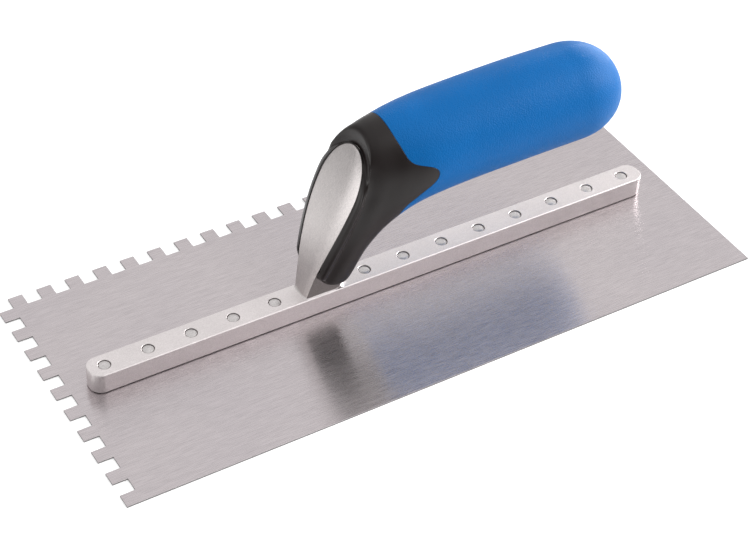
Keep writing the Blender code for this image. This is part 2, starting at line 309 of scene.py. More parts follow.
def section_points(rows, angles, drop):
    """Points on sections: each row is read at its own angle, from 0 at the bottom, up the +Y side."""
    share = 0.5 - 0.5 * np.cos(angles)
    side = np.where(np.sin(angles) >= 0, 1.0, -1.0)
    bottom, top = rows[..., 0:2], rows[..., 2:4]
    rise = top - bottom
    forward = np.stack([-rise[..., 1], rise[..., 0]], axis=-1) / np.linalg.norm(rise, axis=-1)[..., None]
    roundness = np.clip(rows[..., 5], 0, 1)
    ellipse = 2 * np.sqrt(np.clip(share * (1 - share), 0, 1))
    width = rows[..., 4] * (drop_width(share, *drop) * (1 - roundness) + ellipse * roundness)
    bow = rows[..., 6] * np.sin(math.pi * share**BOW_POWER)
    flat = bottom + rise * share[..., None] + forward * bow[..., None]
    return np.stack([flat[..., 0], side * width, flat[..., 1]], axis=-1) * MM


def skin(places, angles):
    """Points of the handle's outside; places past the last section run over its rounded rear end."""
    rows = between(SKIN_SECTIONS, np.minimum(places, SKIN_LAST))
    turn = math.pi / 2 * np.clip(places - SKIN_LAST, 0, 1)
    share = np.cos(turn) ** SKIN_BLUNT
    centre = (rows[..., 0:2] + rows[..., 2:4]) / 2
    reach = (rows[..., 2:4] - rows[..., 0:2]) / 2 * share[..., None]
    middle = centre + (SKIN_END - centre) * np.sin(turn)[..., None]
    ends = np.concatenate([middle - reach, middle + reach], axis=-1)
    rest = np.stack([rows[..., 4] * share, rows[..., 5], rows[..., 6]], axis=-1)
    return section_points(np.concatenate([ends, rest], axis=-1), angles, SKIN_DROP)


def unit(vectors):
    """Vectors scaled to length 1."""
    return vectors / np.maximum(np.linalg.norm(vectors, axis=-1, keepdims=True), 1e-12)


def skin_frame(places, angles):
    """Unit direction backwards along the skin, along the ring, and outwards, at points of the skin."""
    step = 1e-3
    back = unit(skin(places + step, angles) - skin(places - step * (places > step), angles))
    around = unit(skin(places, angles + step) - skin(places, angles - step))
    out = unit(np.cross(around, back))
    return back, around, out


def seam_x(z):
    """Where the grip's front edge lies at a height."""
    dense = between(SEAM, np.linspace(0, len(SEAM) - 1, 400)) * MM
    order = np.argsort(dense[:, 1])
    return np.interp(z, dense[order, 1], dense[order, 0])


def seam_places(angles, shift):
    """The place along the skin, for each angle, where it crosses the seam moved back by shift."""
    places = np.linspace(SEAM_AHEAD, SEAM_BEHIND, 1800)
    grid = skin(*np.meshgrid(places, angles, indexing="xy"))
    behind = grid[..., 0] - seam_x(grid[..., 2]) - shift
    first = np.argmax(behind > 0, axis=1)
    rows = np.arange(len(angles))
    before, after = behind[rows, first - 1], behind[rows, first]
    return places[first - 1] + (places[first] - places[first - 1]) * (-before / (after - before))


def ring_angles():
    """Angles of a surface's columns, spread evenly over both the seam and a plain section."""
    fine = np.linspace(0, math.pi, 1500)
    total = np.zeros(len(fine))
    for places in (seam_places(fine, 0.0), np.full(len(fine), SEAM_AHEAD), np.full(len(fine), 7.0)):
        steps = np.linalg.norm(np.diff(skin(places, fine), axis=0), axis=1)
        length = np.concatenate([[0], np.cumsum(steps)])
        total += length / length[-1]
    half = np.interp(np.linspace(0, total[-1], SIDE_COLUMNS + 1), total, fine)
    return np.concatenate([half, (2 * math.pi - half[1:-1])[::-1]])


def paths_back(angles, stop):
    """Paths over the skin from its first section: places, angles, points and lengths, one column each.

    A path leaves the first ring square to it and settles to a constant angle further back, because
    lines of constant angle run almost along the ring near the top of the face.
    """
    steps = int(stop * 60)
    gain = stop / steps
    places = np.zeros(len(angles))
    turn = angles.copy()
    length = np.zeros(len(angles))
    kept = []
    nudge = 1e-4
    for _ in range(steps + 1):
        here = skin(places, turn)
        kept.append((places.copy(), turn.copy(), here, length.copy()))
        onwards = (skin(places + nudge, turn) - here) / nudge
        around = (skin(places, turn + nudge) - skin(places, turn - nudge)) / (2 * nudge)
        drift = -np.sum(onwards * around, axis=1) / np.sum(around * around, axis=1)
        fade = np.clip((DRIFT_END - length) / (DRIFT_END - DRIFT_START), 0, 1)
        turn = turn + drift * fade * gain
        places = places + gain
        length = length + np.linalg.norm(skin(places, turn) - here, axis=1)
    return [np.array(part) for part in zip(*kept)]


def read_paths(paths, index):
    """Places, angles and lengths at fractional steps of each path."""
    low = np.clip(np.floor(index).astype(int), 0, len(paths[0]) - 2)
    share = index - low
    columns = np.broadcast_to(np.arange(index.shape[-1]), index.shape)
    read = []
    for part in (paths[0], paths[1], paths[3]):
        read.append(part[low, columns] * (1 - share) + part[low + 1, columns] * share)
    return read


def steps_at(paths, distances):
    """Fractional steps of each path at distances from its start."""
    out = np.empty(distances.shape)
    count = np.arange(len(paths[0]))
    for column in range(distances.shape[1]):
        out[:, column] = np.interp(distances[:, column], paths[3][:, column], count)
    return out


def seam_steps(paths, shift):
    """The fractional step at which each path crosses the seam moved back by shift."""
    behind = paths[2][..., 0] - seam_x(paths[2][..., 2]) - shift
    behind[0] = np.minimum(behind[0], -1e-9)
    first = np.argmax(behind > 0, axis=0)
    columns = np.arange(behind.shape[1])
    before, after = behind[first - 1, columns], behind[first, columns]
    return first - 1 - before / (after - before)


def along(places_from, places_to, angles, distances):
    """Places at given distances, one row for each, along the skin from a place in each column."""
    share = np.linspace(0, 1, 260)
    places = places_from + (places_to - places_from) * share[:, None]
    points = skin(places, np.broadcast_to(angles, places.shape))
    steps = np.linalg.norm(np.diff(points, axis=0), axis=2)
    length = np.vstack([np.zeros(len(angles)), np.cumsum(steps, axis=0)])
    out = np.empty(distances.shape)
    for column in range(len(angles)):
        out[:, column] = np.interp(distances[:, column], length[:, column], places[:, column])
    return out


def eased(count, power=1.6):
    """Shares from 0 to 1 that lie closer together at both ends."""
    t = np.linspace(0, 1, count)
    return np.where(t < 0.5, 0.5 * (2 * t) ** power, 1 - 0.5 * (2 * (1 - t)) ** power)


def seam_edge(places, angles):
    """Points of the seam, with unit directions across it along the skin, and outwards."""
    back, _, out = skin_frame(places, angles)
    edge = skin(places, angles)
    course = unit(np.roll(edge, -1, axis=0) - np.roll(edge, 1, axis=0))
    return edge, unit(np.cross(course, out)), out


def seam_rings(places, angles, side):
    """Rings over the rounded edge at the seam and down its wall, from the skin inwards.

    The rounding is square to the seam; side is 1 on the collar and -1 on the grip.
    """
    edge, across, out = seam_edge(places, angles)
    back, _, _ = skin_frame(places, angles)
    across = across * np.sign(np.sum(across * back, axis=1, keepdims=True))
    rings = []
    for turn in np.radians((0, 22.5, 45, 67.5, 90)):
        lag = SEAM_ROUND * (1 - math.sin(turn))
        depth = SEAM_ROUND * (1 - math.cos(turn))
        rings.append(edge - across * side * lag - out * depth)
    for depth in (0.6 * MM, 1.4 * MM, SEAM_WALL):
        rings.append(edge - out * depth)
    return rings


def seam_clearance(places, angles):
    """Length of a path that the rounding at the seam takes up in each column."""
    back, _, _ = skin_frame(places, angles)
    _, across, _ = seam_edge(places, angles)
    return SEAM_ROUND / np.maximum(np.abs(np.sum(across * back, axis=1)), 0.2)


def groove(distance, angles):
    """Depth of the soft groove behind the collar's rim, which fades out on the far side."""
    share = 0.5 - 0.5 * np.cos(angles)
    width = np.where(distance < GROOVE_AT, GROOVE_FRONT, GROOVE_REAR)
    bell = np.exp(-(((distance - GROOVE_AT) / width) ** 2))
    strength = np.interp(share, *GROOVE_STRENGTH)
    far = np.clip(0.5 + 2.5 * np.sin(angles), 0, 1)
    return GROOVE_DEPTH * strength * bell * (1 - far * far * (3 - 2 * far))


def rim_inward(corner):
    """Unit directions from the first ring towards the middle line of its section."""
    bottom = np.array((SKIN_SECTIONS[0, 0], 0.0, SKIN_SECTIONS[0, 1])) * MM
    top = np.array((SKIN_SECTIONS[0, 2], 0.0, SKIN_SECTIONS[0, 3])) * MM
    rise = top - bottom
    own = (corner - bottom) @ rise / (rise @ rise)
    share = np.clip(own, *MIDDLE_LINE)
    flat = corner * np.array((1.0, 0.0, 1.0))
    target = flat + (share - own)[:, None] * rise
    return unit(target - corner)


def neck_reach(corner):
    """How far the neck's edge lies inwards from the first ring, and its face ahead of the first ring."""
    edge, forward = neck_rings(5, 240)[0], neck_forward()
    reach = edge[None] - corner[:, None]
    rise = reach @ forward
    gap = np.linalg.norm(reach - rise[..., None] * forward, axis=2)
    nearest = gap.argmin(axis=1)
    rise = rise[np.arange(len(corner)), nearest]
    gap = np.minimum(gap.min(axis=1), RIM_WIDEST)
    return even(gap, RIM_ROUNDS), even(rise, RIM_ROUNDS) + RIM_OVERLAP


def even(values, rounds):
    """Values smoothed round their ring."""
    for _ in range(rounds):
        values = (np.roll(values, 1, axis=0) + 2 * values + np.roll(values, -1, axis=0)) / 4
    return values


def make_collar(finish, angles):
    """The black collar: rolled rim, soft groove, swelling flank and rounded edge at the seam."""
    paths = paths_back(angles, SEAM_BEHIND)
    seam = seam_steps(paths, -SEAM_HALF_GAP)
    end_place, end_angle, length = read_paths(paths, seam)
    corner = paths[2][0]
    inward = rim_inward(corner)
    back = unit(paths[2][2] - paths[2][0])
    forward = neck_forward()
    clear = seam_clearance(end_place, end_angle)
    reach = length - SEAM_CLEAR * clear - RIM_BACK
    distances = RIM_BACK + eased(76)[:, None] * reach
    places, turns, _ = read_paths(paths, steps_at(paths, distances))
    _, _, out = skin_frame(places, turns)
    out = np.stack([unit(even(row, 12)) for row in out])
    flank = skin(places, turns) - out * groove(distances, turns)[..., None]
    stops = [flank[4], flank[0]]
    share = 0.5 - 0.5 * np.cos(angles)
    lag = np.interp(share, *RIM_SETBACK) * (1 + np.sin(angles)) * MM
    gap, rise = neck_reach(corner)
    lift = np.clip(rise / RIM_LIFT, 0, 1)
    beyond = np.minimum(gap - RIM_LAND, 0)
    crest = np.where(rise > 0, 0.85, 0.3) * rise
    level = np.zeros(len(rise))
    # Distances inwards, backwards and forwards of the rim's points, from the flank over the crest and in
    profile = (
        (0.4 * beyond - 0.1 * MM, RIM_LIFT * (1 - lift), 0.15 * lift * rise - lag),
        (0.8 * beyond + 0.25 * MM, 0.2 * MM * (1 - lift), 0.5 * lift * rise - lag),
        (np.minimum(gap - RIM_LAND, 1.3 * MM), level, crest + RIM_OVERLAP - lag),
        (gap - 0.25 * MM, level, rise + RIM_OVERLAP),
        (gap + 0.5 * MM, level, rise - 0.5 * MM),
        (gap + 1.6 * MM, level, rise - 2.4 * MM),
    )
    for inside, behind, ahead in profile:
        stops.append(corner + inward * inside[:, None] + back * behind[:, None] + forward * ahead[:, None])
    stops = np.stack(stops)
    profile = between(stops.reshape(len(stops), -1), np.arange(1, len(stops) - 0.99, 0.2))
    rim = profile.reshape(len(profile), len(angles), 3)[:0:-1]
    rings = list(rim) + list(flank) + seam_rings(end_place, end_angle, 1)
    front, rear = rings[0].mean(axis=0), rings[-1].mean(axis=0)
    collar = link("collar_soft_rubber", rings_to_solid(rings, front=front, rear=rear), finish)
    cut(collar, neck_room())
    tidy_mesh(collar)
    smooth(collar, 50)
    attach(collar, "root")
    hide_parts("soft_collar")


def make_grip(finish, angles):
    """The blue grip: a closed shell from its rounded front edge to its domed rear end."""
    start = seam_places(angles, SEAM_HALF_GAP)
    clear = seam_clearance(start, angles)
    first = along(start, np.full(len(angles), 7.2), angles, SEAM_CLEAR * clear[None])
    body = first + eased(90, 1.15)[:, None] * (SKIN_LAST - first)
    dome = SKIN_LAST + np.linspace(0, 1, 30)[1:-1, None] * np.ones(len(angles))
    places = np.vstack([body, dome])
    tiled = np.broadcast_to(angles, places.shape)
    _, _, out = skin_frame(places, tiled)
    outside = skin(places, tiled) - out * GRIP_INSET
    inside = outside - out * SEAM_WALL
    rings = list(inside[:0:-1]) + seam_rings(start, angles, -1)[::-1] + list(outside)
    pole = np.array((SKIN_END[0], 0.0, SKIN_END[1])) * MM
    inner_pole = pole - np.array((SEAM_WALL, 0.0, 0.0))
    grip = link("grip_shell", rings_to_solid(rings, front=inner_pole, rear=pole), finish, 50)
    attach(grip, "root")
    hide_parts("grip")


def neck_rings(steps, columns, last=None):
    """Section rings of the neck from its face back, drawn in at the top so that the collar covers it."""
    last = last or len(NECK_SECTIONS) - 1
    angles = 2 * math.pi * np.arange(2 * columns) / (2 * columns)
    places = np.linspace(0, last, last * steps + 1)
    grid = np.meshgrid(places, angles, indexing="ij")
    rings = section_points(between(NECK_SECTIONS, grid[0]), grid[1], NECK_DROP)
    behind = np.maximum((rings[0] - rings) @ neck_forward(), 0)
    high = np.clip((0.5 - 0.5 * np.cos(angles) - NECK_TUCK_FROM) / NECK_TUCK_SPAN, 0, 1)
    tuck = NECK_TUCK * (1 - np.exp(-behind / NECK_TUCK_LENGTH)) * high * high * (3 - 2 * high)
    return rings + ring_inward(rings[0]) * tuck[..., None]


def neck_forward():
    """Unit direction square to the neck's face, forwards."""
    rise = NECK_SECTIONS[0, 2:4] - NECK_SECTIONS[0, 0:2]
    return unit(np.array((-rise[1], 0.0, rise[0])))


def grow(bm, distance):
    """Move a closed bmesh's faces outwards by a distance."""
    bmesh.ops.recalc_face_normals(bm, faces=bm.faces)
    bm.normal_update()
    moves = [(v, v.normal * distance * v.calc_shell_factor()) for v in bm.verts]
    for vert, move in moves:
        vert.co += move
    return bm


def neck_room():
    """What the collar leaves for the neck, open ahead of its face."""
    rings = neck_rings(5, 56)
    ahead = rings[0] + neck_forward() * 6 * MM
    return grow(rings_to_solid([ahead] + list(rings)), 0.08 * MM)


def ring_inward(ring):
    """Unit directions inwards across a section ring."""
    course = unit(np.roll(ring, -1, axis=0) - np.roll(ring, 1, axis=0))
    inward = unit(np.cross(course, neck_forward()))
    flip = np.sign(np.sum((ring.mean(axis=0) - ring) * inward, axis=1))
    return inward * flip[:, None]


def face_rise(across):
    """Rise of the face over its edges, with a soft ridge on its near side; across runs from -1 to 1."""
    end = math.copysign(1.0, across - FACE_RIDGE)
    fall = math.hypot(across - FACE_RIDGE, RIDGE_SOFTNESS) - RIDGE_SOFTNESS
    return 1 - fall / (math.hypot(end - FACE_RIDGE, RIDGE_SOFTNESS) - RIDGE_SOFTNESS)


def neck_form():
    """The neck with a crowned face inside a fine rounded edge."""
    columns = 72
    rings = neck_rings(6, columns)
    edge, forward = rings[0], neck_forward()
    inward = ring_inward(edge)
    rounding = []
    for turn in np.radians((90, 67.5, 45, 22.5, 0)):
        inset = FACE_EDGE * (1 - math.cos(turn))
        lag = FACE_EDGE * (1 - math.sin(turn))
        rounding.append(edge + inward * inset - forward * lag)
    rings = rounding + list(rings[1:])
    bm = bmesh.new()
    loops = [[bm.verts.new(point) for point in ring] for ring in rings]
    count = len(edge)
    for before, after in zip(loops, loops[1:]):
        for i in range(count):
            j = (i + 1) % count
            bm.faces.new((before[i], before[j], after[j], after[i]))
    bm.faces.new(loops[-1])
    widest = edge[:, 1].max()
    rungs = [[loops[0][0]] * (FACE_COLUMNS + 1)]
    for k in range(1, columns):
        left, right = loops[0][k], loops[0][count - k]
        width = left.co.y
        rung = [left]
        for column in range(1, FACE_COLUMNS):
            y = width * math.cos(math.pi * column / FACE_COLUMNS)
            crown = FACE_CROWN * width / widest * face_rise(y / width)
            rung.append(bm.verts.new(Vector((left.co.x, y, left.co.z)) + Vector(forward * crown)))
        rungs.append(rung + [right])
    rungs.append([loops[0][columns]] * (FACE_COLUMNS + 1))
    for lower, upper in zip(rungs, rungs[1:]):
        for column in range(FACE_COLUMNS):
            corners = (lower[column], lower[column + 1], upper[column + 1], upper[column])
            bm.faces.new(list(dict.fromkeys(corners)))
    return bm


def foot_outline(z, marks):
    """Plan of the neck at a height near its foot, at marks from 0 at the front to 1 at the rear."""
    rings = neck_rings(10, 120, last=3)
    half = rings.shape[1] // 2
    flank = rings[:, : half + 1]
    side = np.array([[np.interp(z, ring[:, 2], ring[:, k]) for k in (0, 1)] for ring in flank])
    rear_x, rear_y = side[-1]
    nose = []
    for angle in np.radians(np.arange(10, 91, 10)):
        nose.append((rear_x + 0.35 * rear_y * math.sin(angle), rear_y * math.cos(angle)))
    crown = FACE_CROWN * side[0, 1] / rings[0, :, 1].max()
    across = np.linspace(0, 1, 9)[:-1]
    front = [(side[0, 0] - crown * (1 - y * y), y * side[0, 1]) for y in across]
    outline = np.vstack([front, side, nose])
    steps = np.linalg.norm(np.diff(outline, axis=0), axis=1)
    length = np.concatenate([[0], np.cumsum(steps)]) / steps.sum()
    return np.stack([np.interp(marks, length, outline[:, k]) for k in (0, 1)], axis=1)


def foot_fillet():
    """A skirt that carries the neck's foot into the top of the bar in a hollow curve."""
    marks = np.linspace(0, 1, 70)
    low = foot_outline(BAR_TOP, marks)
    high = foot_outline(BAR_TOP + FOOT_SPAN, marks)
    course = unit(np.gradient(low, axis=0))
    outward = np.stack([-course[:, 1], course[:, 0]], axis=1)
    outward = outward * np.sign(np.sum(outward * (low - low.mean(axis=0)), axis=1, keepdims=True))
    outward = unit(even_open(outward, 6))
    outward[0], outward[-1] = (-1.0, 0.0), (1.0, 0.0)
    size = FOOT_FILLET + FOOT_REAR_FILLET * np.clip(outward[:, 0], 0, 1)
    rings = []
    for turn in np.radians((-10, 0, 18, 36, 54, 72, 90)):
        angle = max(turn, 0.0)
        rise = np.minimum(size, FOOT_RISE) * (1 - math.cos(angle)) + min(turn, 0.0) * 3 * MM
        spread = size * (1 - math.sin(angle)) - 0.05 * MM
        share = np.clip(rise / FOOT_SPAN, 0, 1)[:, None]
        plan = low * (1 - share) + high * share + outward * spread[:, None]
        wide = np.clip(plan[:, 1], 0, BAR_WIDTH / 2 - BAR_CHAMFER)
        ring = [(x, y, BAR_TOP + z) for x, y, z in zip(plan[:, 0], wide, rise)]
        rings.append(ring + [(x, -y, z) for x, y, z in ring[-2:0:-1]])
    return rings_to_solid(rings)


def even_open(values, rounds):
    """Values smoothed along an open row."""
    for _ in range(rounds):
        padded = np.vstack([values[:1], values, values[-1:]])
        values = (padded[:-2] + 2 * values + padded[2:]) / 4
    return values


def rivet_places():
    """x of each rivet, from front to rear."""
    front = [FRONT_RIVET_X - RIVET_PITCH * k for k in reversed(range(FRONT_RIVETS))]
    return front + [REAR_RIVET_X + RIVET_PITCH * k for k in range(REAR_RIVETS)]


def bar_outline(inset):
    """Plan of the bar, with rounded corners, drawn in by inset."""
    corner_x, corner_y = BAR_LENGTH / 2 - BAR_CORNER, BAR_WIDTH / 2 - BAR_CORNER
    reach = BAR_CORNER - inset
    points = []
    for quarter, (sx, sy) in enumerate(((1, 1), (-1, 1), (-1, -1), (1, -1))):
        for k in range(CORNER_STEPS + 1):
            angle = math.pi / 2 * (quarter + k / CORNER_STEPS)
            points.append((sx * corner_x + reach * math.cos(angle), sy * corner_y + reach * math.sin(angle)))
    return points


def bar_form():
    """The bar with a fine lip below and a chamfer above."""
    levels = (
        (BAR_LIP, BAR_BOTTOM),
        (0.0, BAR_BOTTOM + BAR_LIP),
        (0.0, BAR_TOP - BAR_CHAMFER),
        (BAR_CHAMFER, BAR_TOP),
    )
    return rings_to_solid([[(x, y, z) for x, y in bar_outline(inset)] for inset, z in levels])


def mark_neck(casting, sides, face_finish):
    """Give the neck's sides a much darker metal that paints the shade under the collar's toe, and its
    polished face its finish, by the way they look.
    """
    casting.data.materials.append(sides)
    casting.data.materials.append(face_finish)
    forward = Vector(neck_forward())
    for face in casting.data.polygons:
        if face.center.z <= BAR_TOP + 0.05 * MM:
            continue
        back_or_up = max(face.normal.x, face.normal.z) > FILLET_LOOK
        if face.normal.dot(forward) >= POLISHED_LOOK:
            face.material_index = 2
        # slot 1 paints shade onto the neck's sides
        elif not (back_or_up and face.center.z < BAR_TOP + FOOT_SPAN):
            face.material_index = 1


def make_casting(finish, sides, face_finish):
    """Bar, foot fillet and neck in one body, with the rivets' counterbored holes."""
    casting = link("casting_bar_and_neck", bar_form(), finish)
    cut(casting, foot_fillet(), "UNION")
    cut(casting, neck_form(), "UNION")
    profile = (
        (SHANK_R + RIVET_GAP, BAR_BOTTOM - OVER),
        (SHANK_R + RIVET_GAP, BAR_TOP - HEAD_DEPTH),
        (HEAD_R + RIVET_GAP, BAR_TOP - HEAD_DEPTH),
        (HEAD_R + RIVET_GAP, BAR_TOP - 0.15 * MM),
        (HEAD_R + RIVET_GAP + 0.2 * MM, BAR_TOP + 0.05 * MM),
        (HEAD_R + RIVET_GAP + 0.2 * MM, BAR_TOP + OVER),
    )
    holes = bmesh.new()
    for x in rivet_places():
        turned(profile, x, into=holes)
    cut(casting, holes)
    tidy_mesh(casting)
    smooth(casting, 28)
    mark_neck(casting, sides, face_finish)
    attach(casting, "root")
    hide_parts("backbone_casting")


def make_rivets(finish):
    """Countersunk rivets whose flat heads are slightly domed and spun smooth at the rim."""
    top = BAR_TOP - HEAD_SINK
    profile = [(0.0, 0.0), (SINK_R - 0.08 * MM, 0.0), (SINK_R, 0.05 * MM), (SHANK_R, BLADE_THICK)]
    profile += [(SHANK_R, BAR_TOP - HEAD_DEPTH + 0.2 * MM), (HEAD_R, BAR_TOP - HEAD_DEPTH + 0.2 * MM)]
    shoulder, roll = top - 0.35 * MM, 0.2 * MM
    profile += [(HEAD_R, shoulder)]
    for turn in np.radians((30, 60, 90)):
        profile.append((HEAD_R - roll * (1 - math.cos(turn)), shoulder + roll * math.sin(turn)))
    for share in (0.86, 0.8, 0.74, 0.5, 0.25):
        dip = 0.05 * MM if share == 0.8 else 0.0
        profile.append((HEAD_R * share, top - 0.15 * MM + HEAD_DOME * (1 - share**2) - dip))
    for number, x in enumerate(rivet_places(), start=1):
        bm = rings_from_profile(profile, x, (x, 0.0, top - 0.15 * MM + HEAD_DOME))
        rivet = link(f"rivet_fine_{number:02d}", bm, finish, 40)
        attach(rivet, "root")
        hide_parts(f"rivet_{number:02d}")


def rings_from_profile(profile, x, tip):
    """A turned piece whose first profile point is the middle of its flat underside."""
    angles = 2 * math.pi * np.arange(RIVET_SIDES) / RIVET_SIDES
    rings = []
    for radius, z in profile[1:]:
        rings.append([(x + radius * math.cos(a), radius * math.sin(a), z) for a in angles])
    return rings_to_solid(rings, front=(x, 0.0, profile[0][1]), rear=tip)


def blade_outline():
    """Outer edge of the blade, going round from its near plain corner."""
    half_length, half_width = BLADE_LENGTH / 2, BLADE_WIDTH / 2
    points = [(half_length, -half_width), (half_length, half_width)]
    inner_x, inner_y = -half_length + NOTCH, half_width - NOTCH
    for k in reversed(range(LONG_NOTCHES)):
        low = inner_x + NOTCH + 2 * NOTCH * k
        high = low + NOTCH
        points += [(high, half_width), (high, inner_y), (low, inner_y), (low, half_width)]
    points += [(inner_x, half_width), (inner_x, inner_y)]
    for k in reversed(range(SHORT_NOTCHES + 1)):
        high = -half_width + NOTCH + 2 * NOTCH * k
        low = high - NOTCH
        points += [(-half_length, high), (-half_length, low)]
        if k:
            points += [(inner_x, low), (inner_x, low - NOTCH)]
    return points


def mark_cut_edges(blade, finish):
    """Give the blade's outer edges their own finish."""
    blade.data.materials.append(finish)
    for face in blade.data.polygons:
        if abs(face.normal.z) < EDGE_LOOK:
            face.material_index = 1


def make_blade(finish, edges):
    """The blade with finely broken edges and countersunk holes."""
    bm = bmesh.new()
    face = bm.faces.new([bm.verts.new((x, y, 0.0)) for x, y in blade_outline()])
    made = bmesh.ops.extrude_face_region(bm, geom=[face])["geom"]
    top = [v for v in made if isinstance(v, bmesh.types.BMVert)]
    bmesh.ops.translate(bm, verts=top, vec=(0, 0, BLADE_THICK))
    rims = [e for e in bm.edges if abs(e.verts[0].co.z - e.verts[1].co.z) < 0.1 * MM]
    bmesh.ops.bevel(bm, geom=rims, offset=BLADE_EDGE, segments=1, affect="EDGES")
    blade = link("blade_brushed", bm, finish)
    slope = (SINK_R - SHANK_R) / BLADE_THICK
    profile = (
        (SINK_R + RIVET_GAP + slope * OVER, -OVER),
        (SHANK_R + RIVET_GAP, BLADE_THICK),
        (SHANK_R + RIVET_GAP, BLADE_THICK + OVER),
    )
    holes = bmesh.new()
    for x in rivet_places():
        turned(profile, x, into=holes)
    cut(blade, holes)
    tidy_mesh(blade)
    smooth(blade, 28)
    mark_cut_edges(blade, edges)
    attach(blade, "root")
    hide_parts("blade")


class Finish:
    """A material under construction: its nodes and the few links that a procedural finish needs."""

    def __init__(self, name):
        self.material = bpy.data.materials.new(name)
        self.material.use_nodes = True
        self.tree = self.material.node_tree
        self.shader = self.tree.nodes["Principled BSDF"]
        self.place = self.tree.nodes.new("ShaderNodeTexCoord").outputs["Object"]

    def set(self, **values):
        """Set plain values on the shader's sockets."""
        for name, value in values.items():
            self.shader.inputs[name.replace("_", " ")].default_value = value

    def link(self, source, target):
        """Join an output to an input."""
        self.tree.links.new(source, target)

    def noise(self, scale, size=1.0, detail=3.0, roughness=0.5, turn=(0.0, 0.0, 0.0)):
        """Noise over the object's own space, stretched by scale, as a factor around 0.5."""
        mapping = self.tree.nodes.new("ShaderNodeMapping")
        mapping.inputs["Scale"].default_value = scale
        mapping.inputs["Rotation"].default_value = turn
        texture = self.tree.nodes.new("ShaderNodeTexNoise")
        texture.inputs["Scale"].default_value = size
        texture.inputs["Detail"].default_value = detail
        texture.inputs["Roughness"].default_value = roughness
        self.link(self.place, mapping.inputs["Vector"])
        self.link(mapping.outputs["Vector"], texture.inputs["Vector"])
        return texture.outputs["Fac"]

    def ramp(self, factor, low, high, start=0.35, stop=0.65):
        """A factor turned into a colour between two colours."""
        node = self.tree.nodes.new("ShaderNodeValToRGB")
        node.color_ramp.elements[0].position = start
        node.color_ramp.elements[1].position = stop
        node.color_ramp.elements[0].color = (*low, 1.0)
        node.color_ramp.elements[1].color = (*high, 1.0)
        self.link(factor, node.inputs["Fac"])
        return node.outputs["Color"]

    def span(self, factor, low, high, start=0.3, stop=0.7):
        """A factor turned into a number between two numbers."""
        node = self.tree.nodes.new("ShaderNodeMapRange")
        node.inputs["From Min"].default_value = start
        node.inputs["From Max"].default_value = stop
        node.inputs["To Min"].default_value = low
        node.inputs["To Max"].default_value = high
        self.link(factor, node.inputs["Value"])
        return node.outputs["Result"]

    def multiply(self, first, second):
        """The product of two colours."""
        node = self.tree.nodes.new("ShaderNodeMix")
        node.data_type = "RGBA"
        node.blend_type = "MULTIPLY"
        node.inputs["Factor"].default_value = 1.0
        self.link(first, node.inputs["A"])
        self.link(second, node.inputs["B"])
        return node.outputs["Result"]

    def bump(self, heights):
        """Chain bumps of (height, strength, distance) and feed them to the shader."""
        previous = None
        for height, strength, distance in heights:
            node = self.tree.nodes.new("ShaderNodeBump")
            node.inputs["Strength"].default_value = strength
            node.inputs["Distance"].default_value = distance
            self.link(height, node.inputs["Height"])
            if previous:
                self.link(previous, node.inputs["Normal"])
            previous = node.outputs["Normal"]
        self.link(previous, self.shader.inputs["Normal"])


def brushed_steel():
    """Stainless sheet, brushed along its length with fine uneven streaks."""
    finish = Finish("brushed_stainless_steel")
    finish.set(Metallic=1.0, Anisotropic=0.9)
    fine = finish.noise((150.0, 4200.0, 300.0), detail=4.0, roughness=0.62)
    broad = finish.noise((14.0, 700.0, 60.0), detail=3.0)
    cloud = finish.noise((16.0, 16.0, 16.0), detail=2.0)
    streaks = finish.ramp(fine, (0.47, 0.43, 0.44), (0.59, 0.54, 0.55))
    bands = finish.ramp(broad, (0.965, 0.965, 0.965), (1.0, 1.0, 1.0))
    tone = finish.ramp(cloud, (0.96, 0.96, 0.97), (1.0, 1.0, 1.0))
    colour = finish.multiply(finish.multiply(streaks, bands), tone)
    finish.link(colour, finish.shader.inputs["Base Color"])
    finish.link(finish.span(fine, 0.25, 0.30), finish.shader.inputs["Roughness"])
    tangent = finish.tree.nodes.new("ShaderNodeCombineXYZ")
    tangent.inputs["Y"].default_value = 1.0
    finish.link(tangent.outputs["Vector"], finish.shader.inputs["Tangent"])
    finish.bump(((fine, 0.07, 0.00008), (broad, 0.04, 0.0002)))
    return finish.material


def cast_metal(name, low, high, line=0.94):
    """Aluminium casting: blasted grain with linished streaks, from a dark to a light tone."""
    finish = Finish(name)
    finish.set(Metallic=1.0)
    grain = finish.noise((3200.0, 3200.0, 3200.0), detail=3.0, roughness=0.6)
    streak = finish.noise((260.0, 2600.0, 700.0), detail=3.0, turn=(0.0, 0.45, 0.3))
    cloud = finish.noise((60.0, 60.0, 60.0), detail=3.0)
    speckle = finish.ramp(grain, low, high)
    lines = finish.ramp(streak, (line, line, line), (1.0, 1.0, 1.0))
    tone = finish.ramp(cloud, (0.95, 0.95, 0.95), (1.0, 1.0, 1.0))
    colour = finish.multiply(finish.multiply(speckle, lines), tone)
    finish.link(colour, finish.shader.inputs["Base Color"])
    finish.link(finish.span(streak, 0.36, 0.5), finish.shader.inputs["Roughness"])
    finish.bump(((grain, 0.14, 0.00012), (streak, 0.10, 0.00012)))
    return finish.material


def rivet_metal():
    """Rivet heads, a little darker than the casting, with fine turning marks."""
    finish = Finish("spun_rivet_metal")
    finish.set(Metallic=1.0)
    grain = finish.noise((2400.0, 2400.0, 2400.0), detail=3.0)
    cloud = finish.noise((420.0, 420.0, 420.0), detail=2.0)
    speckle = finish.ramp(grain, (0.50, 0.475, 0.47), (0.68, 0.65, 0.645))
    tone = finish.ramp(cloud, (0.86, 0.86, 0.86), (1.0, 1.0, 1.0))
    finish.link(finish.multiply(speckle, tone), finish.shader.inputs["Base Color"])
    finish.link(finish.span(cloud, 0.3, 0.45), finish.shader.inputs["Roughness"])
    finish.bump(((grain, 0.12, 0.0001), (cloud, 0.25, 0.0002)))
    return finish.material


